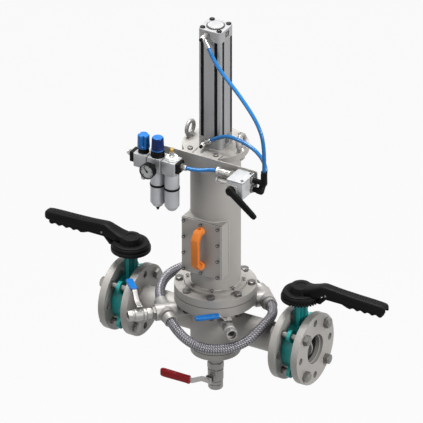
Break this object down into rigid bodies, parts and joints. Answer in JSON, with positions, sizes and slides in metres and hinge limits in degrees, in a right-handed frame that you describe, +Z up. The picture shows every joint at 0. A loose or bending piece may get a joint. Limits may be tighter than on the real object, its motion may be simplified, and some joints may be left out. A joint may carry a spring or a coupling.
{
  "type": "inline magnetic separator",
  "caption": "Inline magnetic separator: flanged vessel with butterfly valves, an air cylinder that lifts magnet rods out of their tubes, flush hoses, drain valve and air treatment unit.",
  "frame": {"origin": "centre of the inlet counter flange's outer face", "axes": "+X along the pipeline from inlet to outlet, +Z up along the lift column, +Y to the back, away from hatch and air unit"},
  "size_m": [0.966, 0.3391, 1.022],
  "materials": {
    "stainless": "bead blasted stainless steel",
    "bolt_steel": "turned and rolled steel fasteners",
    "valve_paint": "teal enamel on cast iron",
    "black_plastic": "moulded black plastic",
    "black_coat": "black coated metal",
    "blue_plastic": "moulded blue plastic",
    "blue_hose": "blue polyurethane tube",
    "braid": "grey braided flush hose",
    "orange_plastic": "moulded orange plastic",
    "red_vinyl": "dipped red vinyl",
    "rubber": "black rubber",
    "brass": "turned brass",
    "aluminium": "anodised aluminium",
    "bowl": "grey bowl guard",
    "magnet_tube": "polished stainless tube"
  },
  "bodies": {
    "frame": {"vessel_shell": "stainless", "vessel_pipes": "stainless", "vessel_flange": "stainless", "flange_gasket": "rubber", "tube_nest": "magnet_tube", "cover_flange": "stainless", "column_shell": "stainless", "vessel_flange_bolts": "bolt_steel", "column_bolts": "bolt_steel", "top_cover": "stainless", "lifting_eyes": "bolt_steel", "hatch_box": "stainless", "hatch_gasket": "rubber", "hatch_cover": "stainless", "hatch_handle": "orange_plastic", "hatch_screws": "bolt_steel", "cylinder_barrel": "aluminium", "cylinder_end_caps": "aluminium", "flow_controls": "bolt_steel", "pipe_flanges": "stainless", "counter_flanges": "stainless", "butterfly_bodies": "valve_paint", "butterfly_liners": "rubber", "notch_plates": "black_coat", "pipeline_bolts": "bolt_steel", "flush_fittings": "stainless", "flush_valve_body": "bolt_steel", "sample_valve_body": "bolt_steel", "drain_valve_body": "bolt_steel", "mounting_bracket": "stainless", "service_modules": "aluminium", "service_clips": "aluminium", "service_trim": "black_plastic", "service_bowls": "bowl", "pressure_gauge": "black_plastic", "lever_valve_body": "aluminium", "tube_fittings": "bolt_steel", "elbow_fittings": "black_plastic", "flush_hose_front": "braid", "flush_hose_back": "braid", "supply_hose": "blue_hose", "cylinder_hose_upper": "blue_hose", "cylinder_hose_lower": "blue_hose"},
    "magnet_lift": {"piston_rod": "bolt_steel", "magnet_carrier": "stainless", "magnet_rods": "magnet_tube"},
    "inlet_valve": {"inlet_disc": "stainless", "inlet_lever": "black_coat"},
    "inlet_grip": {"inlet_trigger": "black_plastic"},
    "outlet_valve": {"outlet_disc": "stainless", "outlet_lever": "black_coat"},
    "outlet_grip": {"outlet_trigger": "black_plastic"},
    "drain_valve": {"drain_valve_lever": "red_vinyl"},
    "flush_valve": {"flush_valve_lever": "blue_plastic"},
    "sample_valve": {"sample_valve_lever": "blue_plastic"},
    "air_lever": {"valve_handle": "black_plastic"},
    "shutoff": {"shutoff_knob": "blue_plastic"},
    "regulator": {"regulator_knob": "blue_plastic"},
    "oiler": {"lubricator_screw": "brass"},
    "gauge": {"gauge_needle": "black_plastic"}
  },
  "joints": [
    {"name": "magnet_lift_slide", "type": "slide", "parent": "frame", "child": "magnet_lift", "axis": [0, 0, 1], "range_m": [0, 0.22]},
    {"name": "inlet_valve_turn", "type": "hinge", "parent": "frame", "child": "inlet_valve", "pos_m": [0.041, 0, 0], "axis": [0, 0, 1], "range_deg": [-90, 0]},
    {"name": "outlet_valve_turn", "type": "hinge", "parent": "frame", "child": "outlet_valve", "pos_m": [0.525, 0, 0], "axis": [0, 0, 1], "range_deg": [-90, 0]},
    {"name": "inlet_squeeze", "type": "hinge", "parent": "inlet_valve", "child": "inlet_grip", "pos_m": [-0.035, 0, 0.168], "axis": [0, 1, 0], "range_deg": [0, 5], "stiffness_Nm_per_rad": 1.5, "springref_deg": -5.73},
    {"name": "outlet_squeeze", "type": "hinge", "parent": "outlet_valve", "child": "outlet_grip", "pos_m": [0.601, 0, 0.168], "axis": [0, -1, 0], "range_deg": [0, 5], "stiffness_Nm_per_rad": 1.5, "springref_deg": -5.73},
    {"name": "drain_valve_turn", "type": "hinge", "parent": "frame", "child": "drain_valve", "pos_m": [0.283, 0, -0.153], "axis": [0, -1, 0], "range_deg": [0, 90]},
    {"name": "flush_valve_turn", "type": "hinge", "parent": "frame", "child": "flush_valve", "pos_m": [0.14547, -0.13753, 0.045], "axis": [0, 0, 1], "range_deg": [0, 90]},
    {"name": "sample_valve_turn", "type": "hinge", "parent": "frame", "child": "sample_valve", "pos_m": [0.36856, -0.08556, 0.045], "axis": [0, 0, 1], "range_deg": [0, 90]},
    {"name": "air_lever_turn", "type": "hinge", "parent": "frame", "child": "air_lever", "pos_m": [0.414, -0.148, 0.479], "axis": [0, 1, 0], "range_deg": [-76, 0]},
    {"name": "shutoff_turn", "type": "hinge", "parent": "frame", "child": "shutoff", "pos_m": [0.15, -0.122, 0.5], "axis": [0, 0, 1], "range_deg": [0, 90]},
    {"name": "regulator_turn", "type": "hinge", "parent": "frame", "child": "regulator", "pos_m": [0.19, -0.122, 0.5], "axis": [0, 0, 1], "range_deg": [-180, 180]},
    {"name": "oiler_turn", "type": "hinge", "parent": "frame", "child": "oiler", "pos_m": [0.23, -0.122, 0.5], "axis": [0, 0, 1], "range_deg": [-180, 180]},
    {"name": "gauge_turn", "type": "hinge", "parent": "frame", "child": "gauge", "pos_m": [0.19, -0.175, 0.48], "axis": [0, 1, 0], "range_deg": [-95, 175]}
  ]
}
